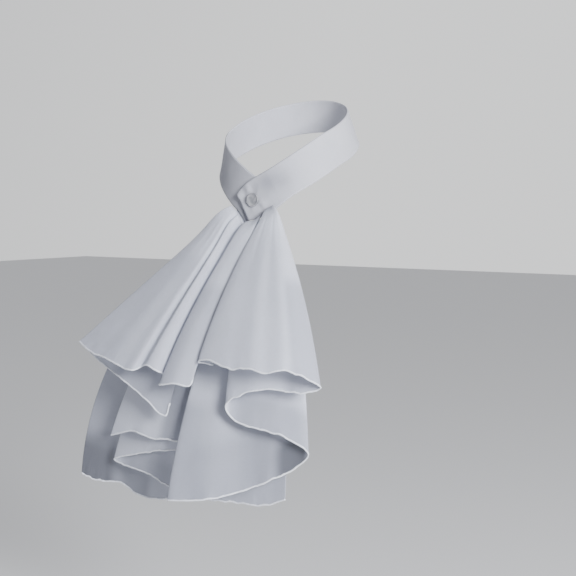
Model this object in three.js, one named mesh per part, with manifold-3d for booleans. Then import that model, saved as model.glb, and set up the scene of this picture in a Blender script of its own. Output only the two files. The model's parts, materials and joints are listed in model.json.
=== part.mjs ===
// A white chiffon jabot on a stand-up neckband, worn buttoned.
// The frame has +Z up and the wearer facing -Y, so the wearer's left is +X. The origin is the middle of the
// band's loop, where the neck carries it. Lengths are in millimetres.
//
// The neckband is one straight strip. It runs from its under end, round the wearer's right and the nape, to
// its over end, and both ends slope down to cross in a V below the throat. A shank button closes the V.
// Four chiffon ruffles are gathered into the lower edges of the two ends. Each is one sheet folded to and
// fro: a table gives one row for each fold or wave, and the sheet is swept through the rows.
import * as THREE from 'three';
import { mergeVertices } from 'three/addons/utils/BufferGeometryUtils.js';
import Module from 'manifold-3d';

// Neckband
const neckWidth = 122; // across the loop, side to side, at the middle of the wall
const neckDepth = 136; // across the loop, front to back
const neckShift = -3; // the loop's middle, forward of the origin
const bandWidth = 37;
const bandWall = 1.6;
const tiltHeight = 27; // how far the nape rises above the sides, and the throat drops below them
const overDip = 28; // how much further the over end slopes down at the throat
const overDipStart = 106; // degrees round from the nape where that slope begins
const underDip = 27; // the same for the under end
const underDipStart = 120;
const dipCurve = 1.5;
const napeLean = 21; // degrees that the band's foot stands out from upright
const overLean = 18; // the same at the throat, for the over end
const underLean = 5; // and for the under end
const leanCurve = 1.5;
const overFlat = 8; // the over end's lean where the two ends lie flat on each other
const underFlat = 6; // and the under end's
const flatStart = 150; // degrees round from the nape where they begin to turn flat
const flatFull = 172; // and where they lie flat
const sideTaper = 3.5; // how much narrower it is round the wearer's left and the nape than at its ends
const crossTurn = 7; // degrees that the V lies to the wearer's left
const overEnd = 188; // degrees round from the nape where the over end is cut
const underEnd = 185;
const cornerLength = 14; // over which the over end narrows to its cut edge
const upperTrim = 5; // how much it narrows above
const lowerTrim = 3; // and below
const endSlant = 5; // how much further its upper corner reaches than its lower one
const underFlare = 6; // how much deeper the under end is at its cut edge
const flareStart = 171; // degrees round from the nape where that begins
const lapStart = 120; // where the two ends begin to part, one outside the other
const lapGap = 1.2; // between the two ends where they lap
const endLift = 0.8; // how much further the over end stands off at its cut edge
const bandEase = 0.35; // the small chamfer on the band's long edges

// Button
const buttonRadius = 6.5;
const buttonThick = 2.4;
const rimWidth = 1.3;
const dishDepth = 0.7;
const shankRadius = 1.3;
const buttonFromEnd = 10.5; // along the over end, from its cut edge
const buttonholeLength = 10;
const fitGap = 0.35; // clearance round the shank and at its end
const buttonRest = 0.6; // between the button's back and the flat of the band

// Ruffles
const clothWall = 1;
const fallFront = 80; // how far forward of the origin the hem shares start
const fallTop = 75; // and how far below it
const spreadWidth = 160; // sideways, for a hem share of 1
const reach = 80; // forward
const drop = 265; // down
const gatherDepth = 9.2; // thickness of the stack of folds at the seam
const gatherBack = 3.2; // how far the rearmost fold lies behind the seam line
const seamGap = 0.35; // between the gathers and the band
const puff = 6; // how far the front folds balloon out just below the seam
const puffPlace = 0.06; // the share of the way down where they stand out most
const puffTurn = 1.6; // how much they turn aside towards the gathers' two ends
const puffCentre = 0.3; // the share of the seam where they stand straight out
const overlap = 4.5; // how far the front folds stand up over the band's lower edge
const tuckPlace = 0.62; // the share of the seam where they stay tucked under the over end instead
const swell = 0.15; // how much sooner a fold comes forward than it comes down
const seamFirst = 168; // degrees round from the nape, on the under end, where the gathers begin
const seamLast = 166; // the same on the over end

const degrees = Math.PI / 180;
const vec = (x, y, z) => new THREE.Vector3(x, y, z);
const up = vec(0, 0, 1);

const wasm = await Module();
wasm.setup();

// The middle line of the band, angle degrees round from the nape. Side is +1 round the wearer's left, which
// is the over end, and -1 round the right. Past 180 degrees the line has crossed the throat.
function bandLine(side, angle) {
  const turn = angle * degrees;
  const [dip, start] = side > 0 ? [overDip, overDipStart] : [underDip, underDipStart];
  const past = Math.max(0, (angle - start) / (180 - start));
  const z = tiltHeight * Math.cos(turn) - dip * past ** dipCurve;
  const point = vec((side * neckWidth * Math.sin(turn)) / 2, neckShift + (neckDepth * Math.cos(turn)) / 2, z);
  return point.applyAxisAngle(up, crossTurn * degrees);
}

// The band's place at an angle: its outward normal and the direction from its middle to its foot.
function bandFrame(side, angle) {
  const step = 0.5;
  const along = bandLine(side, angle + step).sub(bandLine(side, angle - step)).normalize();
  const outward = vec(along.y, -along.x, 0).normalize().multiplyScalar(-side);
  const share = (1 - Math.cos(Math.min(angle, 180) * degrees)) / 2;
  const [throat, flat] = side > 0 ? [overLean, overFlat] : [underLean, underFlat];
  const { lerp, smoothstep } = THREE.MathUtils;
  const loose = lerp(napeLean, throat, share ** leanCurve);
  const lean = lerp(loose, flat, smoothstep(angle, flatStart, flatFull)) * degrees;
  const normal = outward.clone().multiplyScalar(Math.cos(lean)).addScaledVector(up, Math.sin(lean));
  const foot = normal.clone().cross(along).normalize();
  if (foot.z > 0) foot.negate();
  normal.crossVectors(foot, along).normalize();
  if (normal.dot(outward) < 0) normal.negate();
  // Near the throat the over end lies outside the under end.
  const lap = smoothstep(angle, lapStart, 165) * side * (bandWall + lapGap) / 2 + endLift * nearEnd(side, angle);
  return { middle: bandLine(side, angle).addScaledVector(normal, lap), along, normal, foot };
}

// A closed solid skinned over rings of points, with flat ends.
function skin(rings) {
  const count = rings[0].length;
  const positions = rings.flat().flatMap((p) => [p.x, p.y, p.z]);
  const index = [];
  for (let i = 0; i + 1 < rings.length; i++)
    for (let j = 0; j < count; j++) {
      const a = i * count + j;
      const b = i * count + ((j + 1) % count);
      index.push(a, b, a + count, b, b + count, a + count);
    }
  const last = (rings.length - 1) * count;
  for (let j = 1; j + 1 < count; j++) index.push(0, j + 1, j, last, last + j, last + j + 1);
  return closed(positions, index);
}

// A geometry from corners and triangles, turned so that its faces point out.
function closed(positions, index) {
  const geometry = new THREE.BufferGeometry();
  geometry.setAttribute('position', new THREE.Float32BufferAttribute(positions, 3));
  geometry.setIndex(index);
  if (toSolid(geometry).volume() < 0) {
    for (let i = 0; i < index.length; i += 3) [index[i], index[i + 1]] = [index[i + 1], index[i]];
    geometry.setIndex(index);
  }
  return geometry;
}

function toSolid(geometry) {
  const bare = geometry.clone();
  for (const name of Object.keys(bare.attributes)) if (name !== 'position') bare.deleteAttribute(name);
  const merged = mergeVertices(bare, 1e-4);
  const vertProperties = merged.attributes.position.array;
  return new wasm.Manifold(new wasm.Mesh({ numProp: 3, vertProperties, triVerts: new Uint32Array(merged.index.array) }));
}

function fromSolid(solid) {
  const { vertProperties, triVerts } = solid.getMesh();
  const geometry = new THREE.BufferGeometry();
  geometry.setAttribute('position', new THREE.BufferAttribute(vertProperties, 3));
  geometry.setIndex(new THREE.BufferAttribute(triVerts, 1));
  return geometry;
}

// The angle at which the over end has the given length left to its cut edge.
function angleFromEnd(length) {
  let angle = overEnd;
  let left = length;
  const step = 0.25;
  while (left > 0) {
    left -= bandLine(1, angle).distanceTo(bandLine(1, angle - step));
    angle -= step;
  }
  return angle;
}

const buttonSeat = bandFrame(1, angleFromEnd(buttonFromEnd));

// From 0 to 1 over the last cornerLength of the over end.
function nearEnd(side, angle) {
  if (side < 0 || angle < 90) return 0;
  return Math.max(0, 1 - bandLine(1, overEnd).distanceTo(bandLine(1, angle)) / cornerLength);
}

// How far the band's upper and lower edges lie from its middle line. It is narrower round the wearer's left. The
// over end narrows to its cut edge, and the under end grows deeper below.
function bandLimits(side, angle) {
  const trim = nearEnd(side, angle) ** 2;
  const flare = side < 0 ? Math.max(0, (angle - flareStart) / (underEnd - flareStart)) ** 2 : 0;
  const { smoothstep } = THREE.MathUtils;
  const taper = sideTaper * (1 - (side > 0 ? smoothstep(angle, 150, 174) : smoothstep(angle, 30, 110)));
  return [upperTrim * trim - bandWidth / 2, bandWidth / 2 - lowerTrim * trim + underFlare * flare - taper];
}

function makeNeckband() {
  const wall = bandWall / 2;
  const ring = (side, angle) => {
    const { middle, along, normal, foot } = bandFrame(side, angle);
    const [top, low] = bandLimits(side, angle);
    const section = [
      [top + bandEase, wall], [low - bandEase, wall], [low, wall - bandEase], [low, bandEase - wall],
      [low - bandEase, -wall], [top + bandEase, -wall], [top, bandEase - wall], [top, wall - bandEase],
    ];
    const slant = (endSlant * nearEnd(side, angle)) / bandWidth;
    return section.map(([down, out]) => middle.clone().addScaledVector(foot, down).addScaledVector(normal, out)
      .addScaledVector(along, slant * (low - down)));
  };
  const under = [];
  const over = [];
  for (let angle = underEnd; angle > 0; angle -= 5) under.push(ring(-1, angle));
  for (let angle = overEnd; angle > 0; angle -= angle > 165 ? 2 : 5) over.unshift(ring(1, angle));
  const slot = new THREE.BoxGeometry(buttonholeLength, 2 * (shankRadius + fitGap), bandWall * 1.6);
  slot.applyMatrix4(new THREE.Matrix4().makeBasis(buttonSeat.along, buttonSeat.foot,
    buttonSeat.along.clone().cross(buttonSeat.foot)).setPosition(buttonSeat.middle));
  return fromSolid(toSolid(skin([...under, ...over])).subtract(toSolid(slot)));
}

// The button stands on +Y of its own frame, and its shank reaches through the buttonhole to the under end.
function makeButton() {
  const back = bandWall / 2 + buttonRest;
  const front = back + buttonThick;
  const shankEnd = -(bandWall / 2 + lapGap - fitGap);
  const profile = [
    [0, shankEnd], [shankRadius, shankEnd], [shankRadius, back], [buttonRadius - 0.8, back],
    [buttonRadius, back + 0.8], [buttonRadius, front - 0.5], [buttonRadius - 0.4, front],
    [buttonRadius - rimWidth, front - 0.1], [buttonRadius - rimWidth - 0.8, front - dishDepth],
    [0, front - dishDepth - 0.25],
  ].map(([r, y]) => new THREE.Vector2(r, y));
  return new THREE.LatheGeometry(profile, 32);
}

// Names the columns of a table of folds:
// seam and layer place the fold at the gathers, as a share of the seam's length and of the stack's depth;
// knee is how far down its bend lies, and bow how far sideways that bend is pushed, as a share of spreadWidth;
// x, y and z place its hem, as shares of spreadWidth, reach and drop.
const folds = (rows) => rows.map(([seam, layer, knee, bow, x, y, z]) => ({ seam, layer, knee, bow, x, y, z }));

// The wearer's right: an under layer, the broad left lobe, a narrow lobe and the centre pleat.
const leftFolds = folds([
  [0.31, 0.71, 0.50, -0.06, -0.255, 0.66, 0.622],
  [0.32, 0.78, 0.50, -0.06, -0.28, 0.70, 0.664],
  [0.24, 0.80, 0.50, -0.05, -0.425, 0.71, 0.610],
  [0.16, 0.80, 0.50, -0.04, -0.61, 0.67, 0.556],
  [0.07, 0.80, 0.50, -0.02, -0.80, 0.62, 0.505],
  [0.00, 0.90, 0.50, 0.02, -0.99, 0.60, 0.437],
  [0.05, 1.00, 0.50, 0.02, -0.84, 0.72, 0.464],
  [0.12, 1.03, 0.50, 0.01, -0.67, 0.82, 0.478],
  [0.19, 1.03, 0.50, 0.00, -0.53, 0.88, 0.498],
  [0.25, 1.00, 0.50, 0.00, -0.44, 0.90, 0.506],
  [0.28, 0.92, 0.50, 0.01, -0.40, 0.82, 0.494],
  [0.33, 1.01, 0.50, 0.00, -0.33, 0.89, 0.484],
  [0.41, 1.00, 0.50, -0.03, -0.27, 0.87, 0.499],
  [0.48, 0.90, 0.50, -0.05, -0.23, 0.76, 0.524],
  [0.52, 1.06, 0.50, -0.05, -0.235, 0.90, 0.546],
  [0.66, 1.10, 0.52, -0.05, -0.115, 0.94, 0.534],
  [0.76, 0.98, 0.55, 0.00, -0.02, 0.88, 0.538],
  [0.74, 0.90, 0.56, -0.04, -0.02, 0.77, 0.475],
  [0.72, 0.86, 0.58, -0.06, 0.01, 0.70, 0.450],
]);

// The wearer's left: a broad front lobe that doubles back twice and ends in the long centre fall.
const rightFolds = folds([
  [0.87, 0.94, 0.60, -0.03, 0.09, 0.74, 0.468],
  [0.84, 1.05, 0.50, -0.02, 0.02, 0.83, 0.458],
  [0.87, 1.10, 0.52, -0.02, 0.11, 0.89, 0.446],
  [0.90, 1.10, 0.52, 0.01, 0.285, 0.96, 0.465],
  [0.93, 1.08, 0.50, 0.04, 0.43, 0.98, 0.458],
  [0.955, 1.06, 0.50, 0.06, 0.52, 0.97, 0.469],
  [0.975, 1.02, 0.47, 0.09, 0.635, 0.92, 0.455],
  [0.99, 0.98, 0.40, 0.12, 0.715, 0.78, 0.481],
  [1.00, 0.89, 0.38, 0.13, 0.75, 0.58, 0.518],
  [0.96, 0.80, 0.48, 0.09, 0.63, 0.60, 0.541],
  [0.86, 0.78, 0.50, 0.05, 0.455, 0.67, 0.534],
  [0.82, 0.76, 0.50, -0.01, 0.29, 0.72, 0.556],
  [0.73, 0.69, 0.50, -0.03, 0.16, 0.70, 0.606],
  [0.76, 0.59, 0.50, 0.00, 0.19, 0.63, 0.652],
  [0.85, 0.57, 0.50, 0.05, 0.325, 0.60, 0.674],
  [0.94, 0.56, 0.50, 0.10, 0.47, 0.54, 0.690],
  [1.00, 0.46, 0.50, 0.12, 0.605, 0.40, 0.748],
  [0.96, 0.36, 0.50, 0.11, 0.53, 0.36, 0.800],
  [0.85, 0.36, 0.50, 0.05, 0.38, 0.46, 0.852],
  [0.74, 0.42, 0.50, -0.02, 0.20, 0.56, 0.900],
  [0.67, 0.55, 0.52, -0.07, 0.05, 0.78, 0.926],
  [0.62, 0.74, 0.50, -0.11, -0.195, 0.87, 0.941],
  [0.63, 0.64, 0.51, -0.10, -0.185, 0.81, 0.938],
]);

// The wearer's right again: the shorter layers that show between the left lobe and the centre fall.
const underFolds = folds([
  [0.46, 0.24, 0.55, -0.10, -0.19, 0.46, 0.950],
  [0.32, 0.24, 0.55, -0.14, -0.33, 0.45, 0.935],
  [0.18, 0.22, 0.56, -0.17, -0.55, 0.40, 0.900],
  [0.05, 0.28, 0.57, -0.19, -0.84, 0.33, 0.875],
  [0.13, 0.36, 0.57, -0.16, -0.63, 0.42, 0.835],
  [0.29, 0.38, 0.56, -0.13, -0.40, 0.49, 0.803],
  [0.42, 0.40, 0.55, -0.10, -0.14, 0.51, 0.780],
  [0.46, 0.46, 0.55, -0.10, -0.10, 0.53, 0.770],
  [0.38, 0.52, 0.55, -0.11, -0.27, 0.57, 0.755],
  [0.27, 0.53, 0.56, -0.13, -0.45, 0.56, 0.758],
  [0.16, 0.53, 0.57, -0.15, -0.60, 0.52, 0.745],
  [0.05, 0.50, 0.58, -0.16, -0.81, 0.45, 0.776],
  [0.08, 0.44, 0.58, -0.15, -0.75, 0.40, 0.766],
]);

// The longest sheet, behind the others from side to side.
const backFolds = folds([
  [0.94, 0.02, 0.50, 0.10, 0.415, 0.28, 0.925],
  [0.86, 0.02, 0.50, 0.06, 0.27, 0.28, 0.957],
  [0.76, 0.00, 0.50, 0.02, 0.09, 0.29, 0.962],
  [0.65, 0.02, 0.50, -0.04, -0.11, 0.32, 0.966],
  [0.54, -0.05, 0.50, -0.10, -0.34, 0.30, 0.980],
  [0.42, -0.05, 0.48, -0.20, -0.57, 0.27, 1.000],
  [0.31, 0.00, 0.47, -0.31, -0.72, 0.24, 0.993],
  [0.22, 0.01, 0.46, -0.42, -0.84, 0.20, 0.968],
  [0.12, 0.00, 0.45, -0.50, -1.01, 0.26, 0.968],
  [0.04, 0.02, 0.45, -0.57, -1.14, 0.28, 0.950],
]);

// A point on the seam: the lower edge of the under end for the first half, and of the over end for the rest.
function seamPoint(share) {
  const first = share < 0.5;
  const [side, near, far] = first ? [-1, seamFirst, underEnd] : [1, seamLast, overEnd];
  const angle = near + (far - near) * (first ? 2 * share : 2 - 2 * share);
  const { middle, foot } = bandFrame(side, angle);
  return middle.addScaledVector(foot, bandLimits(side, angle)[1]);
}

// The three guides of a fold: its gathered top, its bend and its hem.
function foldGuides({ seam, layer, knee, bow, x, y, z }) {
  const top = seamPoint(seam);
  top.y += gatherBack - gatherDepth * layer;
  const beside = THREE.MathUtils.smoothstep(Math.abs(seam - tuckPlace), 0.08, 0.2);
  top.z += overlap * beside * THREE.MathUtils.smoothstep(layer, 0.86, 1) - seamGap - clothWall;
  const hem = vec(spreadWidth * x, -fallFront - reach * y, -fallTop - drop * z);
  const bend = top.clone().lerp(hem, knee);
  bend.x += spreadWidth * bow;
  bend.y = THREE.MathUtils.lerp(top.y, hem.y, knee + swell);
  return { top, bend, hem, layer };
}

// A sheet of cloth swept through its folds, as a solid wall. Across runs from fold to fold, and down from the
// gathers to the hem.
const downSteps = [0, 0.025, 0.06, 0.11, 0.18, 0.27, 0.38, 0.5, 0.63, 0.76, 0.88, 1];

function makeRuffle(rows, perFold) {
  const guides = rows.map(foldGuides);
  const curve = (name) => new THREE.CatmullRomCurve3(guides.map((g) => g[name]), false, 'centripetal');
  const tops = curve('top');
  const bends = curve('bend');
  const hems = curve('hem');
  const spans = rows.length - 1;
  const valueAt = (across, name) => {
    const place = across * spans;
    const fold = Math.min(Math.floor(place), spans - 1);
    return THREE.MathUtils.lerp(rows[fold][name], rows[fold + 1][name], place - fold);
  };
  const surface = (across, down) => {
    const point = tops.getPoint(across).multiplyScalar((1 - down) ** 2)
      .addScaledVector(bends.getPoint(across), 2 * down * (1 - down))
      .addScaledVector(hems.getPoint(across), down ** 2);
    const bulge = (down / puffPlace) * Math.exp(1 - down / puffPlace);
    const proud = puff * bulge * valueAt(across, 'layer');
    point.y -= proud;
    point.x += proud * puffTurn * (valueAt(across, 'seam') - puffCentre);
    return point;
  };
  const nudge = 1e-3;
  const normal = (across, down) => {
    const a = surface(Math.min(1, across + nudge), down).sub(surface(Math.max(0, across - nudge), down));
    const d = surface(across, Math.min(1, down + nudge)).sub(surface(across, Math.max(0, down - nudge)));
    return a.cross(d).normalize();
  };
  const columns = spans * perFold + 1;
  const positions = [];
  for (const face of [1, -1])
    for (let i = 0; i < columns; i++)
      for (const down of downSteps) {
        const across = i / (columns - 1);
        const p = surface(across, down).addScaledVector(normal(across, down), (face * clothWall) / 2);
        positions.push(p.x, p.y, p.z);
      }
  const rowsDown = downSteps.length;
  const back = columns * rowsDown;
  const at = (i, j) => i * rowsDown + j;
  const index = [];
  const quad = (a, b, c, d) => index.push(a, b, c, a, c, d);
  for (let i = 0; i + 1 < columns; i++) {
    for (let j = 0; j + 1 < rowsDown; j++) {
      quad(at(i, j), at(i + 1, j), at(i + 1, j + 1), at(i, j + 1));
      quad(back + at(i, j), back + at(i, j + 1), back + at(i + 1, j + 1), back + at(i + 1, j));
    }
    quad(at(i, 0), back + at(i, 0), back + at(i + 1, 0), at(i + 1, 0));
    const low = rowsDown - 1;
    quad(at(i, low), at(i + 1, low), back + at(i + 1, low), back + at(i, low));
  }
  for (let j = 0; j + 1 < rowsDown; j++) {
    quad(at(0, j), at(0, j + 1), back + at(0, j + 1), back + at(0, j));
    const end = columns - 1;
    quad(at(end, j), back + at(end, j), back + at(end, j + 1), at(end, j + 1));
  }
  return closed(positions, index);
}

const bandCloth = new THREE.MeshStandardMaterial({ color: 0xe9e9ee, roughness: 0.75, metalness: 0 });
const chiffon = new THREE.MeshStandardMaterial({ color: 0xf1f1f6, roughness: 0.85, metalness: 0 });
const pearl = new THREE.MeshStandardMaterial({ color: 0xc9c9cc, roughness: 0.25, metalness: 0 });

const jabot = new THREE.Group();

function add(name, geometry, material) {
  const mesh = new THREE.Mesh(geometry, material);
  mesh.name = name;
  jabot.add(mesh);
  return mesh;
}

add('neckband', makeNeckband(), bandCloth);
const button = add('button', makeButton(), pearl);
button.position.copy(buttonSeat.middle);
button.quaternion.setFromUnitVectors(vec(0, 1, 0), buttonSeat.normal);
add('left_ruffle', makeRuffle(leftFolds, 3), chiffon);
add('right_ruffle', makeRuffle(rightFolds, 3), chiffon);
add('under_ruffle', makeRuffle(underFolds, 3), chiffon);
add('back_ruffle', makeRuffle(backFolds, 4), chiffon);

export default jabot;
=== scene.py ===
"""The look of the jabot: fine chiffon ruffles, a sewn neckband and a pearly button, over the CAD frame."""

import json
import math

import bmesh
import bpy
import numpy as np
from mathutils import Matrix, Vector

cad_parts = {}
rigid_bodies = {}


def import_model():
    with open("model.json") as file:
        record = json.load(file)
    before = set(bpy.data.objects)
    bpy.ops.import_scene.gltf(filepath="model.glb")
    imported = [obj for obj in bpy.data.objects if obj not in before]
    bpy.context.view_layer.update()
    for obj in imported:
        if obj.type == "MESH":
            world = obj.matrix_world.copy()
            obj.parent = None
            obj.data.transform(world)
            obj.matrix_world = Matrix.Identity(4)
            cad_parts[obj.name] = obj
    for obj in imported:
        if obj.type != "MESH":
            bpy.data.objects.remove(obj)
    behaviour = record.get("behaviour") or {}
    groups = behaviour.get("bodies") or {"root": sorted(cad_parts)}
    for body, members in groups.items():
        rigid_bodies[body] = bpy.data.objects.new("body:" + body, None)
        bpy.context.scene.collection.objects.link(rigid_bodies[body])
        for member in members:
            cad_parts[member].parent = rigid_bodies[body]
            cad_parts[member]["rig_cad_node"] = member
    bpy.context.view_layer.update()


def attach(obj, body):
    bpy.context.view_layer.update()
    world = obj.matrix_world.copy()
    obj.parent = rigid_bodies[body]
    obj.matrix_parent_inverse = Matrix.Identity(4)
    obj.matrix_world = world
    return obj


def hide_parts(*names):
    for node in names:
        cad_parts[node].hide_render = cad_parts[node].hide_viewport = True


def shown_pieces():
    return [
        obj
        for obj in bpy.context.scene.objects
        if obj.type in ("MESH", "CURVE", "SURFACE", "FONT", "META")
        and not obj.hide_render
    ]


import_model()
MM = 0.001

# The camera stands to the wearer's left, a little below the neckband.
CAMERA_AT = (0.7456, -1.0649, -0.045)
CAMERA_DOWN = 4.18  # degrees below level
CAMERA_ROUND = 35.0855  # degrees round from the wearer's front
LENS, SENSOR_WIDTH = 83.76, 36

# Floor and key light, in metres
FLOOR_AT, FLOOR_HALF = -0.52, 6
KEY_AT, KEY_TARGET = (1.72, -1.01, 0.36), (0, -0.1, -0.15)
KEY_SIZE, KEY_POWER, KEY_COLOUR = 0.66, 87, (0.95, 0.97, 1.0)

# The studio is brighter behind the object than in front of it.
BRIGHT_SIDE = (0.25, 0.60, -0.15)
STUDIO_TONES = [(0.30, (0.36, 0.367, 0.39)), (0.85, (0.98, 0.99, 1.0))]
STUDIO_STRENGTH = 1.15

# Neckband, in millimetres and in degrees round from the nape, as in the part's source
NECK_WIDTH, NECK_DEPTH = 122, 136  # across the loop, at the middle of the wall
NECK_SHIFT = -3  # the loop's middle, forward of the origin
BAND_WIDTH, BAND_WALL = 37, 1.6
TILT_HEIGHT = 27  # how far the nape rises above the sides, and the throat drops below them
OVER_DIP, OVER_DIP_START = 28, 106  # how much further the over end slopes down, and where that begins
UNDER_DIP, UNDER_DIP_START = 27, 120
DIP_CURVE = 1.5
NAPE_LEAN, OVER_LEAN, UNDER_LEAN = 21, 18, 5  # degrees that the band's foot stands out from upright
LEAN_CURVE = 1.5
OVER_FLAT, UNDER_FLAT = 8, 6  # the same where the two ends lie flat on each other
FLAT_START, FLAT_FULL = 150, 172
SIDE_TAPER = 3.5  # how much narrower it is round the wearer's left and the nape than at its ends
OVER_TAPER, UNDER_TAPER = (150, 174), (30, 110)  # where each side widens
CROSS_TURN = 7  # degrees that the V lies to the wearer's left
OVER_END, UNDER_END = 188, 185  # where the two ends are cut
CORNER_LENGTH = 14  # over which the over end narrows to its cut edge
UPPER_TRIM, LOWER_TRIM = 5, 3  # how much it narrows above and below
END_SLANT = 5  # how much further its upper corner reaches than its lower one
UNDER_FLARE, FLARE_START = 6, 171  # how much deeper the under end is at its cut edge
LAP_START, LAP_FULL = 120, 165  # where the two ends begin to part, and where they have parted
LAP_GAP = 1.2  # between the two ends where they lap
END_LIFT = 0.8  # how much further the over end stands off at its cut edge

# Button, in millimetres, as in the part's source
BUTTON_FROM_END = 10.5  # along the over end, from its cut edge
BUTTON_RADIUS, BUTTON_THICK = 6.5, 2.4
RIM_WIDTH, DISH_DEPTH = 1.3, 0.7
SHANK_RADIUS = 1.3
FIT_GAP = 0.35  # clearance at the shank's end
BUTTON_REST = 0.6  # between the button's back and the flat of the band

# Ruffles, in millimetres, as in the part's source
FALL_FRONT, FALL_TOP = 80, 75  # how far in front of and below the origin the hem shares start
SPREAD, REACH, DROP = 160, 80, 265  # sideways, forward and down, for a hem share of 1
GATHER_DEPTH = 9.2  # thickness of the stack of folds at the seam
GATHER_BACK = 3.2  # how far the rearmost fold lies behind the seam line
SEAM_GAP = 0.35  # between the gathers and the band
CLOTH_WALL = 1  # the solids' own wall
PUFF, PUFF_PLACE = 6, 0.06  # how far the front folds balloon out, and at what share of the way down
PUFF_TURN, PUFF_CENTRE = 1.6, 0.3  # how much they turn aside, and the share of the seam where they don't
SWELL = 0.15  # how much sooner a fold comes forward than it comes down
OVERLAP = 4.5  # how far the front folds stand up over the band's lower edge
FRONT_LAYERS = (0.86, 1)  # the layers over which that begins
TUCK_PLACE, TUCK_REACH = 0.62, (0.08, 0.2)  # the seam's share where they stay tucked in, and how far round it
SEAM_FIRST, SEAM_LAST = 168, 166  # degrees round from the nape where the two seams start

# Fineness of the surfaces
TURN_STEP = 0.5  # degrees to either side, for the band's direction
LENGTH_STEP = 0.25  # degrees, for a length along the band
STATION_STEP = 1.25  # degrees between the band's sections
BAND_ACROSS = 26  # points down each face of the band
BAND_CROWDING = 0.45  # how much closer they lie towards the edges
TOP_SHARE, TOP_ROWS = 0.12, 22  # the closer rows of a ruffle below its seam
HEM_SHARE, HEM_ROWS = 0.93, 20  # and those above its hem
HEM_SIDES, BUTTON_SIDES = 8, 72

# Cloth and hem, in millimetres
CHIFFON = 0.34  # the sheer cloth's thickness, with its crinkle
HEM_HALF = (0.80, 0.68)  # half the rolled hem's width and thickness
HEM_SEED = 77  # for the hem's slow changes of thickness
GATHER_REACH = (0.038, 0.015, 0.08)  # the share of the way down that a gather runs: usual, least and most
GATHER_START, GATHER_FADE = 0.012, 1.4  # the share of the way down where it is full, and how sharply it ends
CREASE_GROWS, CREASE_FADES = (0.01, 0.10), (0.15, 0.50)  # the shares over which a crease comes and goes
BROAD_GROWS = (0.35, 0.95)  # and those over which the broad waves come
LIVELY = (0.55, 0.12, 1.3)  # how strongly the hem waves: usual, least and most

# Small waves of the cloth: height, limits of their lengths, how many sines, and what is added to the seed.
# Those of the seam are measured in folds, the others in millimetres along the hem or the band.
WAVES = {
    "seam_gather": (0.20, (0.2, 0.45), 6, 0),
    "seam_reach": (0.018, (0.5, 1.4), 5, 1),
    "seam_crease": (0.11, (0.7, 1.8), 5, 2),
    "broad": (0.6, (34, 75), 4, 8),
    "lively": (0.45, (50, 110), 3, 9),
    "curl": (0.8, (16, 34), 5, 3),
    "small_curl": (0.12, (5, 9), 4, 4),
    "drop": (0.75, (10, 26), 5, 5),
    "small_drop": (0.22, (3.5, 7), 4, 6),
    "thread": (0.14, (2.5, 6), 5, 7),
    "thread_slow": (0.10, (11, 19), 5, 0),
    "band_broad": (0.28, (38, 75), 4, 5),
    "band_small": (0.12, (14, 26), 4, 9),
}
SINE_HEIGHTS = (0.6, 1)  # the least and the most that each sine counts
BAND_SKEW = 0.7  # how far the band's small waves slant
BAND_SWELL = 0.9  # the share of the band's waves that is kept
NAPE_PLAIN = (-1, 10)  # millimetres from the nape over which they grow
LAP_PLAIN, LAP_PLAIN_SPAN = 0.85, (145, 160)  # how much they calm down where the ends lap, and where
FOLD_ROUND, EDGE_LEAST = 0.8, 0.12  # the band's folded edge: its rounding and its least half wall
FULL_EDGE = (0.10, 1.4, 1.2)  # its fullness: how much, how far in, and how broad

# The button pulls the over end in, and the cloth puckers round it: height, waves round the button, turn.
PUCKERS = [(0.45, 5, 0.6), (0.3, 3, -0.5)]
PUCKER_AT, PUCKER_WIDTH = 9, 4.5  # from the button's middle
PULL, PULL_WIDTH = 0.25, 13
BUTTON_REACH = 22  # beyond it the button no longer moves the cloth
END_CURL, END_CURL_WIDTH = 1.1, 3.2  # how far the cut end stands off the under end
SHALLOW, DEEP, DEEP_FROM = 0.12, 3, (33, 42)  # how far the cloth may dent, and where it may dent more
# Small forms of the over end: rise, from the cut edge, down from the button, and the two half sizes.
END_FORMS = [
    (1.6, 2.5, -11.5, 3.0, 3.0),  # the curled upper corner
    (1.5, 11.0, -12.5, 2.2, 4.0),  # the fold from the V towards the button
    (-0.6, 14.0, -10.0, 3.0, 4.0),
    (0.6, 17.5, 8.0, 2.2, 6.0),  # soft folds beside the button
    (-0.5, 14.2, 12.0, 1.8, 5.0),
    (0.9, 16.0, -17.0, 7.0, 2.6),  # the upper edge above the button
    (-2.0, 41.0, -7.0, 8.0, 9.0),  # the dent beyond the V
]
# Painted shade on the band, as shares of the painted shade colour: on its under side, towards the over end's
# cut edge, and round the dent's rim.
UNDER_PAINTED_SHADE, UNDER_PAINTED_SHADE_SPAN = 0.3, (120, 142)
END_PAINTED_SHADE, END_PAINTED_SHADE_WIDTH = 0.22, 55
RIM_PAINTED_SHADE = (0.42, 32, -9, 13, 11)  # in the columns of END_FORMS

# The button's outline: its shank's tip, then how far in from its edge and how far from its back or front.
SHANK_TIP, SHANK_EDGE = 0.8, 0.3
BACK_EDGE = [(1.2, 0), (0.5, 0.15), (0.12, 0.5), (0, 1.0)]
FRONT_EDGE = [(0, 0.9), (0.1, 0.45), (0.4, 0.12), (0.75, 0), (1.05, 0.06), (RIM_WIDTH, 0.22)]
DISH_EDGE = [(0.4, -0.1), (0.9, 0.02)]  # in from the rim, and below the dish
DISH_FLOOR = [(0.45, 0.16), (0.2, 0.23), (0, 0.25)]  # share of the radius, and below the dish
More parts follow.
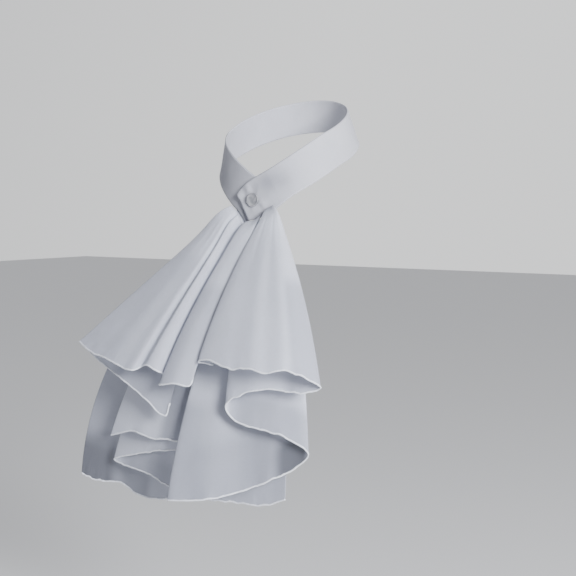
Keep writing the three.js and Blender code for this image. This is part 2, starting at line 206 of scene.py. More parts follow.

# Colours, for the darker and paler places of each cloth, and the painted shade colour that darkens the cloth
# where shade falls and where a single layer would show dark behind it
CHIFFON_COLOURS = ((0.53, 0.55, 0.65), (0.62, 0.645, 0.75))
BAND_COLOURS = ((0.47, 0.475, 0.53), (0.56, 0.565, 0.62))
PAINTED_SHADE_COLOUR = (0.11, 0.115, 0.14)
HEM_TONES = [(0.38, (0.56, 0.58, 0.66)), (0.58, (0.90, 0.92, 0.98))]
PEARL_TONES = [(0.3, (0.20, 0.205, 0.225)), (0.55, (0.29, 0.29, 0.31)), (0.75, (0.38, 0.38, 0.40))]
FLOOR_COLOUR = (0.72, 0.72, 0.73, 1)

# Columns for each fold, rows between the closer ones, the small waves' seed, and how strong the broad are.
FINENESS = {
    "left_ruffle": (16, 70, 3, 0.4),
    "right_ruffle": (14, 70, 11, 0.8),
    "under_ruffle": (18, 60, 23, 0.7),
    "back_ruffle": (24, 60, 31, 0.5),
}
# Painted shade on the sheer cloth, where shade falls and where a single layer hangs: folds from, to, shares
# down from, to, how much.
PAINTED_SHADE = {
    "left_ruffle": [
        (-1, 3.5, 0.80, 1.1, 0.40),
        (3.5, 13.4, 0.3, 1.1, 0.12),
        (13.4, 16.6, 0.4, 1.1, 0.25),
    ],
    "right_ruffle": [
        (6.3, 9.5, 0.50, 1.1, 0.38),
        (12.5, 16.2, 0.84, 1.1, 0.45),
        (16.4, 17.8, 0.86, 1.1, 1.0),
        (17.8, 20.7, 0.64, 1.1, 0.42),
        (17.8, 20.5, 0.80, 1.1, 0.15),
        (20.7, 23, 0.64, 1.1, 0.50),
    ],
    "under_ruffle": [
        (-1, 2.6, 0.90, 1.1, 0.50),
        (7.6, 8.6, 0.66, 1.1, 0.50),
    ],
    "back_ruffle": [
        (-1, 5.2, -1, 1.1, 0.45),
        (5.2, 7.4, 0.72, 1.1, 0.45),
        (5.2, 7.4, 0.92, 1.1, 0.30),
        (7.4, 10, -1, 1.1, 0.60),
        (7.4, 10, 0.86, 1.1, 0.40),
    ],
}
PAINTED_SHADE_EDGE, PAINTED_SHADE_EDGE_DOWN = 0.25, 0.05  # how softly these places end, in folds and in shares down

# seam, layer, knee, bow, x, y, z: a row for each fold, as in the part's source. seam and layer place it at
# the gathers, as shares of the seam's length and of the stack's depth. knee is how far down its bend lies,
# and bow how far sideways that bend is pushed, as a share of SPREAD. x, y and z place its hem, as shares of
# SPREAD, REACH and DROP.
FOLDS = {
    "left_ruffle": [
        [0.31, 0.71, 0.50, -0.06, -0.255, 0.66, 0.622],
        [0.32, 0.78, 0.50, -0.06, -0.28, 0.70, 0.664],
        [0.24, 0.80, 0.50, -0.05, -0.425, 0.71, 0.610],
        [0.16, 0.80, 0.50, -0.04, -0.61, 0.67, 0.556],
        [0.07, 0.80, 0.50, -0.02, -0.80, 0.62, 0.505],
        [0.00, 0.90, 0.50, 0.02, -0.99, 0.60, 0.437],
        [0.05, 1.00, 0.50, 0.02, -0.84, 0.72, 0.464],
        [0.12, 1.03, 0.50, 0.01, -0.67, 0.82, 0.478],
        [0.19, 1.03, 0.50, 0.00, -0.53, 0.88, 0.498],
        [0.25, 1.00, 0.50, 0.00, -0.44, 0.90, 0.506],
        [0.28, 0.92, 0.50, 0.01, -0.40, 0.82, 0.494],
        [0.33, 1.01, 0.50, 0.00, -0.33, 0.89, 0.484],
        [0.41, 1.00, 0.50, -0.03, -0.27, 0.87, 0.499],
        [0.48, 0.90, 0.50, -0.05, -0.23, 0.76, 0.524],
        [0.52, 1.06, 0.50, -0.05, -0.235, 0.90, 0.546],
        [0.66, 1.10, 0.52, -0.05, -0.115, 0.94, 0.534],
        [0.76, 0.98, 0.55, 0.00, -0.02, 0.88, 0.538],
        [0.74, 0.90, 0.56, -0.04, -0.02, 0.77, 0.475],
        [0.72, 0.86, 0.58, -0.06, 0.01, 0.70, 0.450],
    ],
    "right_ruffle": [
        [0.87, 0.94, 0.60, -0.03, 0.09, 0.74, 0.468],
        [0.84, 1.05, 0.50, -0.02, 0.02, 0.83, 0.458],
        [0.87, 1.10, 0.52, -0.02, 0.11, 0.89, 0.446],
        [0.90, 1.10, 0.52, 0.01, 0.285, 0.96, 0.465],
        [0.93, 1.08, 0.50, 0.04, 0.43, 0.98, 0.458],
        [0.955, 1.06, 0.50, 0.06, 0.52, 0.97, 0.469],
        [0.975, 1.02, 0.47, 0.09, 0.635, 0.92, 0.455],
        [0.99, 0.98, 0.40, 0.12, 0.715, 0.78, 0.481],
        [1.00, 0.89, 0.38, 0.13, 0.75, 0.58, 0.518],
        [0.96, 0.80, 0.48, 0.09, 0.63, 0.60, 0.541],
        [0.86, 0.78, 0.50, 0.05, 0.455, 0.67, 0.534],
        [0.82, 0.76, 0.50, -0.01, 0.29, 0.72, 0.556],
        [0.73, 0.69, 0.50, -0.03, 0.16, 0.70, 0.606],
        [0.76, 0.59, 0.50, 0.00, 0.19, 0.63, 0.652],
        [0.85, 0.57, 0.50, 0.05, 0.325, 0.60, 0.674],
        [0.94, 0.56, 0.50, 0.10, 0.47, 0.54, 0.690],
        [1.00, 0.46, 0.50, 0.12, 0.605, 0.40, 0.748],
        [0.96, 0.36, 0.50, 0.11, 0.53, 0.36, 0.800],
        [0.85, 0.36, 0.50, 0.05, 0.38, 0.46, 0.852],
        [0.74, 0.42, 0.50, -0.02, 0.20, 0.56, 0.900],
        [0.67, 0.55, 0.52, -0.07, 0.05, 0.78, 0.926],
        [0.62, 0.74, 0.50, -0.11, -0.195, 0.87, 0.941],
        [0.63, 0.64, 0.51, -0.10, -0.185, 0.81, 0.938],
    ],
    "under_ruffle": [
        [0.46, 0.24, 0.55, -0.10, -0.19, 0.46, 0.950],
        [0.32, 0.24, 0.55, -0.14, -0.33, 0.45, 0.935],
        [0.18, 0.22, 0.56, -0.17, -0.55, 0.40, 0.900],
        [0.05, 0.28, 0.57, -0.19, -0.84, 0.33, 0.875],
        [0.13, 0.36, 0.57, -0.16, -0.63, 0.42, 0.835],
        [0.29, 0.38, 0.56, -0.13, -0.40, 0.49, 0.803],
        [0.42, 0.40, 0.55, -0.10, -0.14, 0.51, 0.780],
        [0.46, 0.46, 0.55, -0.10, -0.10, 0.53, 0.770],
        [0.38, 0.52, 0.55, -0.11, -0.27, 0.57, 0.755],
        [0.27, 0.53, 0.56, -0.13, -0.45, 0.56, 0.758],
        [0.16, 0.53, 0.57, -0.15, -0.60, 0.52, 0.745],
        [0.05, 0.50, 0.58, -0.16, -0.81, 0.45, 0.776],
        [0.08, 0.44, 0.58, -0.15, -0.75, 0.40, 0.766],
    ],
    "back_ruffle": [
        [0.94, 0.02, 0.50, 0.10, 0.415, 0.28, 0.925],
        [0.86, 0.02, 0.50, 0.06, 0.27, 0.28, 0.957],
        [0.76, 0.00, 0.50, 0.02, 0.09, 0.29, 0.962],
        [0.65, 0.02, 0.50, -0.04, -0.11, 0.32, 0.966],
        [0.54, -0.05, 0.50, -0.10, -0.34, 0.30, 0.980],
        [0.42, -0.05, 0.48, -0.20, -0.57, 0.27, 1.000],
        [0.31, 0.00, 0.47, -0.31, -0.72, 0.24, 0.993],
        [0.22, 0.01, 0.46, -0.42, -0.84, 0.20, 0.968],
        [0.12, 0.00, 0.45, -0.50, -1.01, 0.26, 0.968],
        [0.04, 0.02, 0.45, -0.57, -1.14, 0.28, 0.950],
    ],
}


def unit(v):
    v = np.asarray(v, float)
    return v / np.maximum(np.linalg.norm(v, axis=-1, keepdims=True), 1e-12)


def smooth(x, low, high):
    """From 0 at low to 1 at high, with a soft start and end."""
    t = np.clip((np.asarray(x, float) - low) / (high - low), 0, 1)
    return t * t * (3 - 2 * t)


def bell(x, centre, width, power=2):
    """It is 1 at the centre and fades out over the width to either side."""
    return np.exp(-(abs(x - centre) / width) ** power)


def running_length(line):
    """How far along the line each of its points lies."""
    return np.concatenate([[0], np.cumsum(np.linalg.norm(np.diff(line, axis=0), axis=1))])


def waves(kind, x, seed=0):
    """A smooth random wave along x, made of a few sines between two wavelengths."""
    height, lengths, count, step = WAVES[kind]
    rng = np.random.default_rng(seed + step)
    total = np.zeros_like(x)
    for _ in range(count):
        total += np.sin(2 * math.pi * (x / rng.uniform(*lengths) + rng.random())) * rng.uniform(*SINE_HEIGHTS)
    return height * (total / math.sqrt(count))


# The neckband's line and sections, as in the part's source

def band_line(side, angle):
    """The band's middle, that many degrees round from the nape. side is 1 towards the over end, else -1."""
    t = math.radians(angle)
    dip, start = (OVER_DIP, OVER_DIP_START) if side > 0 else (UNDER_DIP, UNDER_DIP_START)
    past = max(0.0, (angle - start) / (180 - start))
    x = side * NECK_WIDTH * math.sin(t) / 2
    y = NECK_SHIFT + NECK_DEPTH * math.cos(t) / 2
    c, s = math.cos(math.radians(CROSS_TURN)), math.sin(math.radians(CROSS_TURN))
    return np.array([x * c - y * s, x * s + y * c, TILT_HEIGHT * math.cos(t) - dip * past ** DIP_CURVE])


def near_end(side, angle):
    """From 0 to 1 over the last of the over end."""
    if side < 0 or angle < 90:
        return 0.0
    return max(0.0, 1 - np.linalg.norm(band_line(1, OVER_END) - band_line(1, angle)) / CORNER_LENGTH)


def band_frame(side, angle):
    """The band's middle there, and its directions along, outward and down."""
    along = unit(band_line(side, angle + TURN_STEP) - band_line(side, angle - TURN_STEP))
    outward = unit([along[1], -along[0], 0]) * -side
    share = (1 - math.cos(math.radians(min(angle, 180)))) / 2
    throat, flat = (OVER_LEAN, OVER_FLAT) if side > 0 else (UNDER_LEAN, UNDER_FLAT)
    loose = NAPE_LEAN + (throat - NAPE_LEAN) * share ** LEAN_CURVE
    lean = math.radians(loose + (flat - loose) * float(smooth(angle, FLAT_START, FLAT_FULL)))
    normal = outward * math.cos(lean) + np.array([0, 0, math.sin(lean)])
    foot = unit(np.cross(normal, along))
    foot = -foot if foot[2] > 0 else foot
    normal = unit(np.cross(foot, along))
    normal = -normal if normal @ outward < 0 else normal
    parted = float(smooth(angle, LAP_START, LAP_FULL)) * side * (BAND_WALL + LAP_GAP) / 2
    middle = band_line(side, angle) + normal * (parted + END_LIFT * near_end(side, angle))
    return middle, along, normal, foot


def band_limits(side, angle):
    """How far the upper and the lower edge lie from the band's middle line."""
    trim = near_end(side, angle) ** 2
    flare = max(0.0, (angle - FLARE_START) / (UNDER_END - FLARE_START)) ** 2 if side < 0 else 0.0
    taper = SIDE_TAPER * (1 - float(smooth(angle, *(OVER_TAPER if side > 0 else UNDER_TAPER))))
    lower = BAND_WIDTH / 2 - LOWER_TRIM * trim + UNDER_FLARE * flare - taper
    return UPPER_TRIM * trim - BAND_WIDTH / 2, lower


def angle_from_end(length):
    """The degrees round from the nape at that length from the over end's cut edge."""
    angle, left = OVER_END, length
    while left > 0:
        left -= np.linalg.norm(band_line(1, angle) - band_line(1, angle - LENGTH_STEP))
        angle -= LENGTH_STEP
    return angle


def seam_point(share):
    """A point of the band's lower edge: the under end's seam, then the over end's."""
    side, near, far = (-1, SEAM_FIRST, UNDER_END) if share < 0.5 else (1, SEAM_LAST, OVER_END)
    angle = near + (far - near) * (2 * share if share < 0.5 else 2 - 2 * share)
    middle, _, _, foot = band_frame(side, angle)
    return middle + foot * band_limits(side, angle)[1]


# The ruffles' surfaces

def spline(points, t):
    """A centripetal Catmull-Rom curve through points, at t from 0 to 1."""
    points = np.asarray(points, float)
    ends = np.vstack([2 * points[0] - points[1], points, 2 * points[-1] - points[-2]])
    place = np.asarray(t) * (len(points) - 1)
    i = np.minimum(place.astype(int), len(points) - 2)
    w = (place - i)[:, None]
    p0, p1, p2, p3 = (ends[i + k] for k in range(4))
    gap = [np.sqrt(np.linalg.norm(b - a, axis=1))[:, None] for a, b in ((p0, p1), (p1, p2), (p2, p3))]
    d1 = np.where(gap[1] < 1e-4, 1, gap[1])
    d0 = np.where(gap[0] < 1e-4, d1, gap[0])
    d2 = np.where(gap[2] < 1e-4, d1, gap[2])
    m1 = ((p1 - p0) / d0 - (p2 - p0) / (d0 + d1) + (p2 - p1) / d1) * d1
    m2 = ((p2 - p1) / d1 - (p3 - p1) / (d1 + d2) + (p3 - p2) / d2) * d1
    return p1 + m1 * w + (3 * (p2 - p1) - 2 * m1 - m2) * w ** 2 + (2 * (p1 - p2) + m1 + m2) * w ** 3


def grid_normals(p):
    """The unit direction straight out of a grid of points, at each of them."""
    return unit(np.cross(np.gradient(p, axis=0), np.gradient(p, axis=1)))


def painted_shade_places(name, fold, d):
    """From 0 to 1, how much painted shade each grid point takes."""
    amount = np.zeros((len(fold), len(d)))
    for first, last, top, low, strength in PAINTED_SHADE[name]:
        over = smooth(fold, first - PAINTED_SHADE_EDGE, first + PAINTED_SHADE_EDGE)
        over = over * (1 - smooth(fold, last - PAINTED_SHADE_EDGE, last + PAINTED_SHADE_EDGE))
        down = smooth(d, top - PAINTED_SHADE_EDGE_DOWN, top + PAINTED_SHADE_EDGE_DOWN)
        down = down * (1 - smooth(d, low - PAINTED_SHADE_EDGE_DOWN, low + PAINTED_SHADE_EDGE_DOWN))
        amount += strength * over[:, None] * down
    return np.clip(amount, 0, 1)


def swept_surface(rows, fold, d):
    """The middle surface through the rows of a ruffle's table, as in the part's source, and its hem line."""
    seam, layer, knee, bow, x, y, z = rows.T
    top = np.array([seam_point(s) for s in seam])
    top[:, 1] += GATHER_BACK - GATHER_DEPTH * layer
    stands_up = smooth(abs(seam - TUCK_PLACE), *TUCK_REACH) * smooth(layer, *FRONT_LAYERS)
    top[:, 2] += OVERLAP * stands_up - SEAM_GAP - CLOTH_WALL
    hem = np.c_[SPREAD * x, -FALL_FRONT - REACH * y, -FALL_TOP - DROP * z]
    bend = top + (hem - top) * knee[:, None]
    bend[:, 0] += SPREAD * bow
    bend[:, 1] = top[:, 1] + (hem[:, 1] - top[:, 1]) * (knee + SWELL)
    t, b, h = (spline(c, fold / (len(rows) - 1))[:, None] for c in (top, bend, hem))
    down = d[None, :, None]
    p = t * (1 - down) ** 2 + 2 * down * (1 - down) * b + h * down ** 2
    count = np.arange(len(rows))
    place = d / PUFF_PLACE
    proud = PUFF * np.interp(fold, count, layer)[:, None] * (place * np.exp(1 - place))[None]
    p[:, :, 1] -= proud
    p[:, :, 0] += proud * (PUFF_TURN * (np.interp(fold, count, seam) - PUFF_CENTRE))[:, None]
    return p, h[:, 0]


def ruffle_grid(name):
    """A ruffle's middle surface as a grid of points, columns by rows. With it come the columns' places in
    folds, the rows' shares of the way down, and the columns' places along the hem."""
    rows = np.array(FOLDS[name])
    per_fold, middle_rows, seed, calm = FINENESS[name]
    fold = np.linspace(0, 1, (len(rows) - 1) * per_fold + 1) * (len(rows) - 1)
    d = np.concatenate([np.linspace(0, TOP_SHARE, TOP_ROWS)[:-1],
                        np.linspace(TOP_SHARE, HEM_SHARE, middle_rows),
                        np.linspace(HEM_SHARE, 1, HEM_ROWS)[1:]])
    p, hem = swept_surface(rows, fold, d)
    along_hem = running_length(hem)
    # Gathers: small puckers that leave the seam and soon fade, no two of them the same length.
    usual, least, most = GATHER_REACH
    reach = np.clip(usual + waves("seam_reach", fold, seed), least, most)
    fade = bell(d[None], 0, reach[:, None], GATHER_FADE) * smooth(d, 0, GATHER_START)
    ripple = waves("seam_gather", fold, seed)[:, None] * fade
    # A few long soft creases run on towards the hem, and the cloth between them swells a little.
    shown = smooth(d, *CREASE_GROWS) * (1 - smooth(d, *CREASE_FADES))
    ripple += waves("seam_crease", fold, seed)[:, None] * shown
    ripple += calm * waves("broad", along_hem, seed)[:, None] * smooth(d, *BROAD_GROWS)
    # The hem's own waves, as a rolled edge stretches: in some places lively, in others nearly straight.
    usual, least, most = LIVELY
    lively = np.clip(usual + waves("lively", along_hem, seed), least, most)
    curl = lively * (calm * waves("curl", along_hem, seed) + waves("small_curl", along_hem, seed))
    drop = lively * (waves("drop", along_hem, seed) + waves("small_drop", along_hem, seed))
    near = smooth(d, HEM_SHARE, 1)
    ripple += curl[:, None] * near
    p = p + grid_normals(p) * ripple[:, :, None]
    p[:, :, 2] += drop[:, None] * near
    return p, fold, d, along_hem


# Meshes

def add_to_scene(name, data, place=(0, 0, 0)):
    obj = bpy.data.objects.new(name, data)
    obj.location = place
    bpy.context.scene.collection.objects.link(obj)
    return obj


def mesh_object(name, points, faces, uv=None):
    """A smooth mesh from points in millimetres. uv gives each point its place on the cloth, in metres."""
    mesh = bpy.data.meshes.new(name)
    mesh.from_pydata((np.asarray(points) * MM).tolist(), [], faces)
    mesh.update()
    for poly in mesh.polygons:
        poly.use_smooth = True
    if uv is not None:
        index = np.zeros(len(mesh.loops), int)
        mesh.loops.foreach_get("vertex_index", index)
        mesh.uv_layers.new(name="cloth").data.foreach_set("uv", np.asarray(uv)[index].ravel())
    return add_to_scene(name, mesh)


def set_painted_shade(obj, amounts):
    """Stores how much painted shade each point takes, which the cloth's material reads."""
    obj.data.attributes.new("painted_shade", "FLOAT", "POINT").data.foreach_set("value", amounts)


def sheet_object(name, p, wall, uv):
    """A closed sheet of small thickness on a grid of middle points."""
    half = grid_normals(p) * wall / 2
    n, m = p.shape[:2]
    back = n * m
    faces = []
    for i in range(n - 1):
        for j in range(m - 1):
            a = i * m + j
            b, c, d = a + m, a + m + 1, a + 1
            faces.append((a, b, c, d))
            faces.append((back + a, back + d, back + c, back + b))
        for j in (0, m - 1):
            a, b = i * m + j, (i + 1) * m + j
            quad = (a, back + a, back + b, b)
            faces.append(quad if j == 0 else quad[::-1])
    for j in range(m - 1):
        for i in (0, n - 1):
            a, b = i * m + j, i * m + j + 1
            quad = (a, b, back + b, back + a)
            faces.append(quad if i == 0 else quad[::-1])
    points = np.concatenate([(p + half).reshape(-1, 3), (p - half).reshape(-1, 3)])
    return mesh_object(name, points, faces, np.concatenate([uv.reshape(-1, 2)] * 2))


def tube_object(name, line, across, out, radii):
    """A tube along line, with an elliptic section: across and out are the section's two directions."""
    n, sides = len(line), HEM_SIDES
    ring = np.arange(sides) * 2 * math.pi / sides
    points = (line[:, None] + across[:, None] * (np.cos(ring)[None, :, None] * radii[:, 0, None, None])
              + out[:, None] * (np.sin(ring)[None, :, None] * radii[:, 1, None, None])).reshape(-1, 3)
    faces = []
    for i in range(0, (n - 1) * sides, sides):
        for k in range(sides):
            j = (k + 1) % sides
            faces.append((i + k, i + j, i + sides + j, i + sides + k))
    faces.append(tuple(range(sides))[::-1])
    faces.append(tuple((n - 1) * sides + k for k in range(sides)))
    uv = np.stack([np.repeat(running_length(line), sides) * MM, np.tile(ring, n) / (2 * math.pi)], 1)
    return mesh_object(name, points, faces, uv)


# Materials

class Nodes:
    """A short way to write a node tree."""

    def __init__(self, tree):
        self.tree = tree

    def feed(self, socket, value):
        """Links the value to the socket, or sets it there where it is a plain number or colour."""
        if isinstance(value, bpy.types.NodeSocket):
            self.tree.links.new(value, socket)
        else:
            socket.default_value = value

    def node(self, kind, inputs=(), **settings):
        n = self.tree.nodes.new(kind)
        for key, value in settings.items():
            setattr(n, key, value)
        for key, value in dict(inputs).items():
            self.feed(n.inputs[key], value)
        return n

    def place(self, kind):
        return self.node("ShaderNodeTexCoord").outputs[kind]

    def math(self, operation, a, b=0.0):
        return self.node("ShaderNodeMath", {0: a, 1: b}, operation=operation).outputs[0]

    def blend(self, *parts):
        """The sum of values, each with its share."""
        total = self.math("MULTIPLY", *parts[0])
        for part in parts[1:]:
            total = self.math("ADD", total, self.math("MULTIPLY", *part))
        return total

    def noise(self, **inputs):
        return self.node("ShaderNodeTexNoise", {"Vector": self.place("Object"), **inputs}).outputs["Fac"]

    def bump(self, **inputs):
        return self.node("ShaderNodeBump", inputs).outputs[0]

    def ramp(self, value, stops):
        n = self.node("ShaderNodeValToRGB", {"Fac": value})
        elements = n.color_ramp.elements
        while len(elements) < len(stops):
            elements.new(0.5)
        for element, (place, colour) in zip(elements, stops):
            element.position = place
            element.color = (*colour, 1)
        return n.outputs["Color"]


class Surface(Nodes):
    """The same for a material."""

    def __init__(self, name):
        self.mat = bpy.data.materials.new(name)
        self.mat.use_nodes = True
        super().__init__(self.mat.node_tree)

    def set(self, **values):
        for key, value in values.items():
            self.feed(self.tree.nodes["Principled BSDF"].inputs[key.replace("_", " ")], value)


def cloth_material(name, colours, thread, crinkle, sheen, glow):
    """Woven cloth. thread is a thread's width and crinkle the depth of its small creases, both in metres, and
    glow is how much of the light comes through it."""
    m = Surface(name)
    across = m.node("ShaderNodeSeparateXYZ", {"Vector": m.place("UV")}).outputs
    warp, weft = (m.math("SINE", m.math("MULTIPLY", across[k], math.pi / thread)) for k in range(2))
    weave = m.math("MULTIPLY", m.blend((warp, warp), (weft, weft)), 0.5)
    broad = m.noise(Scale=28.0, Detail=3.0)
    slub = m.noise(Scale=420.0, Detail=4.0, Roughness=0.6)
    dark, pale = colours
    colour = m.ramp(m.blend((broad, 0.5), (slub, 0.3), (weave, 0.2)), [(0.3, dark), (0.7, pale)])
    # Painted shade: the stored attribute mixes the cloth's colour towards a dark colour that stands in for
    # shade.
    painted_shade = m.node("ShaderNodeAttribute", attribute_name="painted_shade").outputs["Fac"]
    mixed = m.node("ShaderNodeMix", {0: painted_shade, 6: colour, 7: (*PAINTED_SHADE_COLOUR, 1)}, data_type="RGBA").outputs[2]
    m.set(Base_Color=mixed, Roughness=m.math("ADD", 0.72, m.math("MULTIPLY", slub, 0.2)))
    m.set(Sheen_Weight=sheen, Sheen_Roughness=0.45, Specular_IOR_Level=0.2)
    m.set(Subsurface_Weight=glow, Subsurface_Radius=(1.0, 1.0, 1.0), Subsurface_Scale=0.0020)
    fine = m.bump(Height=weave, Strength=0.6, Distance=thread * 0.5)
    m.set(Normal=m.bump(Height=slub, Strength=0.8, Distance=crinkle, Normal=fine))
    return m.mat


def hem_material(name, pitch):
    """A rolled hem's thread, with slanting stitches over the edge. pitch is a stitch's width in metres."""
    m = Surface(name)
    across = m.node("ShaderNodeSeparateXYZ", {"Vector": m.place("UV")}).outputs
    slant = m.blend((across[0], 2 * math.pi / pitch), (across[1], 2 * math.pi))
    stitch = m.math("MULTIPLY", m.math("ADD", m.math("SINE", slant), 1.0), 0.5)
    fuzz = m.noise(Scale=900.0, Detail=3.0)
    patches = m.noise(Scale=110.0, Detail=2.0)
    tone = m.blend((stitch, 0.3), (fuzz, 0.3), (patches, 0.4))
    m.set(Base_Color=m.ramp(tone, HEM_TONES), Roughness=m.math("ADD", 0.6, m.math("MULTIPLY", fuzz, 0.25)))
    m.set(Sheen_Weight=0.3, Specular_IOR_Level=0.3, Normal=m.bump(Height=tone, Strength=0.8, Distance=0.0002))
    return m.mat


def pearl_material(name):
    """Pearly grey, cloudy and glossy."""
    m = Surface(name)
    cloud = m.noise(Scale=160.0, Detail=3.0, Distortion=1.2)
    m.set(Base_Color=m.ramp(cloud, PEARL_TONES))
    m.set(Roughness=m.math("ADD", 0.16, m.math("MULTIPLY", cloud, 0.12)))
    m.set(Coat_Weight=0.4, Coat_Roughness=0.05, Specular_IOR_Level=0.6)
    m.set(Subsurface_Weight=0.15, Subsurface_Radius=(0.002, 0.002, 0.002))
    m.set(Normal=m.bump(Height=cloud, Strength=0.25, Distance=0.0002))
    return m.mat


chiffon = cloth_material("chiffon", CHIFFON_COLOURS, thread=0.00030, crinkle=0.00014, sheen=0.12, glow=0.40)
band_cloth = cloth_material("band_cloth", BAND_COLOURS, thread=0.00035, crinkle=0.00010, sheen=0.10, glow=0.0)
hem_thread = hem_material("hem_thread", pitch=0.0011)
pearl = pearl_material("button_pearl")


# Ruffles

def surface_area(p):
    """The area of a grid's surface, in square millimetres."""
    corner, right, below, far = p[:-1, :-1], p[1:, :-1], p[:-1, 1:], p[1:, 1:]
    cells = (np.linalg.norm(np.cross(right - a, below - a), axis=2) for a in (corner, far))
    return float(sum(cells).sum() / 2)


def make_hem(name, p, along_hem):
    """The rolled hem: a tube of thread round the cloth's lower edge, a little uneven in thickness."""
    line = p[:, -1]
    out = grid_normals(p)[:, -1]
    across = unit(np.cross(unit(np.gradient(line, axis=0)), out))
    uneven = 1 + waves("thread", along_hem, FINENESS[name][2]) + waves("thread_slow", along_hem, HEM_SEED)
    hem = tube_object(name + "_hem", line, across, out, uneven[:, None] * HEM_HALF)
    hem.data.materials.append(hem_thread)
    return hem


def make_ruffle(name):
    """A ruffle's cloth and its hem, which rides with it."""
    p, fold, d, along_hem = ruffle_grid(name)
    down = np.concatenate([[0], np.cumsum(np.linalg.norm(np.diff(p, axis=1), axis=2).mean(0))])
    uv = np.stack(np.broadcast_arrays((along_hem * MM)[:, None], (down * MM)[None]), 2)
    cloth = sheet_object(name + "_cloth", p, CHIFFON, uv)
    cloth.data.materials.append(chiffon)
    # Painted shade: darker patches where shade falls and where a single layer hangs.
    set_painted_shade(cloth, np.tile(painted_shade_places(name, fold, d).ravel(), 2))
    hem = make_hem(name, p, along_hem)
    for piece in (cloth, hem):
        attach(piece, "root")
    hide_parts(name)
    width, length = float(along_hem[-1] * MM), float(down[-1] * MM)
    area = min(surface_area(p) * MM ** 2, width * length)


for ruffle in FOLDS:
    make_ruffle(ruffle)


# Neckband

SEAT = band_frame(1, angle_from_end(BUTTON_FROM_END))


def band_section(side, angle, length, from_nape):
    """The outline across the band at one place, and how far down from its middle line each point lies."""
    middle, along, normal, foot = band_frame(side, angle)
    top, low = band_limits(side, angle)
    even = np.linspace(0, 1, BAND_ACROSS)
    share = BAND_CROWDING * (0.5 - 0.5 * np.cos(math.pi * even)) + (1 - BAND_CROWDING) * even
    down = top + (low - top) * share
    # The folded edges are rounded, and a little fuller than the middle.
    from_edge = np.minimum(down - top, low - down)
    inward = 1 - np.clip(from_edge / FOLD_ROUND, 0, 1)
    half = np.maximum(BAND_WALL / 2 * np.sqrt(np.clip(1 - inward ** 2, 0, 1)), EDGE_LEAST)
    fullness, edge_in, edge_width = FULL_EDGE
    half = half + fullness * bell(from_edge, edge_in, edge_width)
    swell = waves("band_broad", np.array([length]))[0] * np.sin(math.pi * share)
    swell += waves("band_small", down + length * BAND_SKEW)
    # It lies plain at the nape, and where the two ends lie on each other.
    plain = smooth(from_nape, *NAPE_PLAIN) * (1 - LAP_PLAIN * smooth(angle, *LAP_PLAIN_SPAN))
    swell *= BAND_SWELL * float(plain)
    slant = END_SLANT * near_end(side, angle) / BAND_WIDTH
    core = middle + foot * down[:, None] + along * (slant * (low - down))[:, None]
    front = core + normal * (half + swell)[:, None]
    back = core + normal * (-half + swell)[:, None]
    return np.concatenate([front, back[::-1]]), np.concatenate([down, down[::-1]])


def shape_over_end(points, from_end, level):
    """Moves the over end's cloth into its small forms: the button's pull and puckers, the curl and folds."""
    seat, along, normal, foot = SEAT
    rel = points - seat
    flat = rel - (rel @ normal)[..., None] * normal
    r = np.linalg.norm(flat, axis=-1)
    turn = np.arctan2(flat @ foot, flat @ along)
    pucker = sum(height * np.cos(count * turn + phase) for height, count, phase in PUCKERS)
    pucker = pucker * bell(r, PUCKER_AT, PUCKER_WIDTH) + PULL * bell(r, 0, PULL_WIDTH)
    rise = pucker * bell(np.linalg.norm(rel, axis=-1), 0, BUTTON_REACH, 4)
    rise = rise + END_CURL * bell(from_end, 0, END_CURL_WIDTH)
    for height, away, level_at, long, tall in END_FORMS:
        rise = rise + height * bell(from_end, away, long) * bell(level, level_at, tall)
    points += normal * np.maximum(rise, -SHALLOW - DEEP * smooth(from_end, *DEEP_FROM))[..., None]


def strip_faces(sections, count):
    """The faces of a closed strip with that many sections of count points, its two ends filled across."""
    faces = []
    for i in range(sections - 1):
        for j in range(count):
            k = (j + 1) % count
            faces.append((i * count + j, i * count + k, (i + 1) * count + k, (i + 1) * count + j))
    for base, flip in ((0, True), ((sections - 1) * count, False)):
        for j in range(count // 2 - 1):
            quad = (base + j, base + j + 1, base + count - 2 - j, base + count - 1 - j)
            faces.append(quad[::-1] if flip else quad)
    return faces


def make_band():
    """The neckband: one strip from its under end, round by the nape, to its over end."""
    under = [(-1, a) for a in np.arange(UNDER_END, 0, -STATION_STEP)]
    over = [(1, a) for a in np.arange(OVER_END, 0, -STATION_STEP)][::-1]
    stations = under + over
    middles = np.array([band_frame(side, angle)[0] for side, angle in stations])
    length = running_length(middles)
    total = length[-1]
    sections = [band_section(*place, at, abs(at - total / 2)) for place, at in zip(stations, length)]
    rings = np.array([ring for ring, _ in sections])
    uvs = [np.stack([np.full(len(down), at), down], 1) * MM for (_, down), at in zip(sections, length)]
    over_end = rings[len(under):]
    from_end = np.linalg.norm(band_line(1, OVER_END) - middles[len(under):], axis=1)[:, None]
    level = (over_end - SEAT[0]) @ SEAT[3]
    shape_over_end(over_end, from_end, level)
    # Painted shade on the band: darker on its under side, which turns away from the light, towards the over
    # end's cut edge, and round the dent's rim.
    rim_shade, away, level_at, long, tall = RIM_PAINTED_SHADE
    painted_shades = np.zeros(rings.shape[:2])
    painted_shades[:len(under)] = (UNDER_PAINTED_SHADE * smooth([angle for _, angle in under], *UNDER_PAINTED_SHADE_SPAN))[:, None]
    painted_shades[len(under):] = (END_PAINTED_SHADE * bell(from_end, 0, END_PAINTED_SHADE_WIDTH, 4)
                          + rim_shade * bell(from_end, away, long) * bell(level, level_at, tall))
    faces = strip_faces(*rings.shape[:2])
    band = mesh_object("neckband_cloth", rings.reshape(-1, 3), faces, np.concatenate(uvs))
    band.data.materials.append(band_cloth)
    set_painted_shade(band, painted_shades.ravel())
    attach(band, "root")
    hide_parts("neckband")


make_band()


# Button

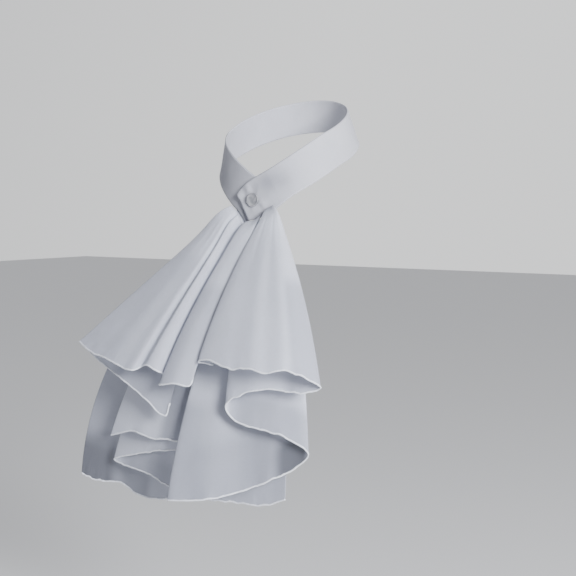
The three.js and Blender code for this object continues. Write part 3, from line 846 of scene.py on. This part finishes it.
def make_button():
    """The button and its shank: an outline turned round the button's axis."""
    back = BAND_WALL / 2 + BUTTON_REST
    front = back + BUTTON_THICK
    dish = front - DISH_DEPTH
    tip = -(BAND_WALL / 2 + LAP_GAP - FIT_GAP)
    r = BUTTON_RADIUS
    outline = [(0, tip), (SHANK_RADIUS * SHANK_TIP, tip)]
    outline += [(SHANK_RADIUS, tip + SHANK_EDGE), (SHANK_RADIUS, back)]
    outline += [(r - inward, back + up) for inward, up in BACK_EDGE]
    outline += [(r - inward, front - down) for inward, down in FRONT_EDGE]
    outline += [(r - RIM_WIDTH - inward, dish - down) for inward, down in DISH_EDGE]
    outline += [(r * share, dish - down) for share, down in DISH_FLOOR]
    seat, along, normal, foot = SEAT
    sides = BUTTON_SIDES
    points, faces, rings = [], [], []
    for radius, height in outline:
        if radius == 0:
            rings.append([len(points)])
            points.append(seat + normal * height)
            continue
        rings.append(list(range(len(points), len(points) + sides)))
        for k in range(sides):
            t = 2 * math.pi * k / sides
            sideways = along * radius * math.cos(t) + foot * radius * math.sin(t)
            points.append(seat + normal * height + sideways)
    for a, b in zip(rings[:-1], rings[1:]):
        for k in range(sides):
            n = (k + 1) % sides
            if len(a) == 1:
                faces.append((a[0], b[n], b[k]))
            elif len(b) == 1:
                faces.append((a[k], a[n], b[0]))
            else:
                faces.append((a[k], a[n], b[n], b[k]))
    button = mesh_object("button_pearl", points, faces)
    button.data.materials.append(pearl)
    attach(button, "root")
    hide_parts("button")


make_button()

# Faces point outward on every piece.
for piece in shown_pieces():
    if "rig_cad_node" not in piece and piece.type == "MESH":
        bm = bmesh.new()
        bm.from_mesh(piece.data)
        bmesh.ops.recalc_face_normals(bm, faces=bm.faces)
        bm.to_mesh(piece.data)
        bm.free()


# Floor, light and camera

def make_floor():
    mesh = bpy.data.meshes.new("floor")
    corners = [(x * FLOOR_HALF, y * FLOOR_HALF, 0) for x, y in ((-1, -1), (1, -1), (1, 1), (-1, 1))]
    mesh.from_pydata(corners, [], [(0, 1, 2, 3)])
    surface = Surface("floor_pale")
    surface.set(Base_Color=FLOOR_COLOUR, Roughness=0.9)
    mesh.materials.append(surface.mat)
    add_to_scene("floor", mesh, (0, 0, FLOOR_AT))


def make_key_light():
    data = bpy.data.lights.new("key", "AREA")
    data.shape = "DISK"
    data.size = KEY_SIZE
    data.energy = KEY_POWER
    data.color = KEY_COLOUR
    light = add_to_scene("key", data, KEY_AT)
    light.rotation_euler = (Vector(KEY_TARGET) - Vector(KEY_AT)).to_track_quat("-Z", "Y").to_euler()


def make_studio():
    """Light from all sides, brighter towards BRIGHT_SIDE."""
    world = bpy.data.worlds.new("studio")
    bpy.context.scene.world = world
    world.use_nodes = True
    nodes = Nodes(world.node_tree)
    directions = {0: nodes.place("Generated"), 1: BRIGHT_SIDE}
    toward = nodes.node("ShaderNodeVectorMath", directions, operation="DOT_PRODUCT").outputs["Value"]
    tone = nodes.ramp(nodes.math("ADD", toward, 0.5), STUDIO_TONES)
    background = world.node_tree.nodes["Background"]
    nodes.feed(background.inputs["Color"], tone)
    nodes.feed(background.inputs["Strength"], STUDIO_STRENGTH)


def make_camera():
    data = bpy.data.cameras.new("camera")
    data.lens = LENS
    data.sensor_width = SENSOR_WIDTH
    camera = add_to_scene("camera", data, CAMERA_AT)
    camera.rotation_euler = [math.radians(v) for v in (90 - CAMERA_DOWN, 0, CAMERA_ROUND)]
    bpy.context.scene.camera = camera


make_floor()
make_key_light()
make_studio()
make_camera()
